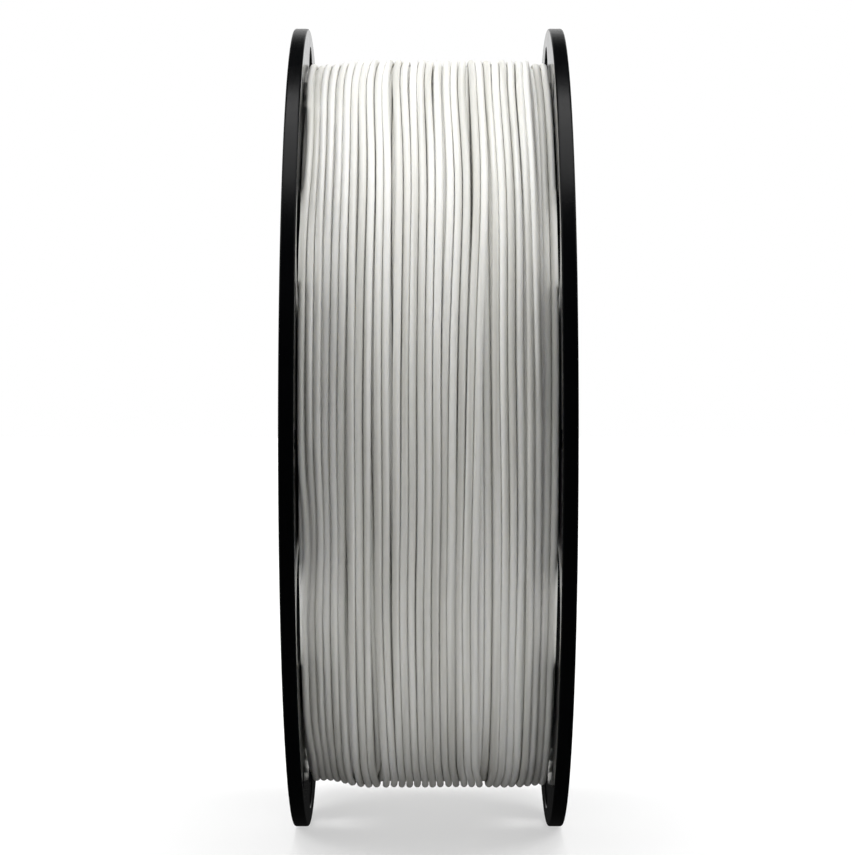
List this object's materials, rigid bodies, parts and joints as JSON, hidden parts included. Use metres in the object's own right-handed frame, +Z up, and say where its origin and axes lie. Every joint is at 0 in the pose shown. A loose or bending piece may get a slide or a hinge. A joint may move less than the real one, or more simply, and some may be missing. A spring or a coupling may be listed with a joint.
{
  "type": "filament spool",
  "caption": "Round plastic spool with windowed flanges on a hollow drum, wound full with plastic filament for 3D printing.",
  "frame": {"origin": "on the spool's axis, at the middle of the hub bore, half way between the flanges", "axes": "+X along the spool's axis towards the right flange, +Z up, -Y to the front"},
  "size_m": [0.0712, 0.2, 0.2],
  "materials": {
    "flange_plastic": "satin moulded, glossier on the inner faces",
    "drum_plastic": "satin moulded",
    "filament": "smooth extruded strand, soft sheen"
  },
  "bodies": {
    "root": {"left_flange": "flange_plastic", "right_flange": "flange_plastic", "core_drum": "drum_plastic", "filament_inner_layers": "filament", "filament_under_layer": "filament", "filament_top_layer": "filament", "filament_start_end": "filament", "filament_free_end": "filament"}
  },
  "joints": []
}
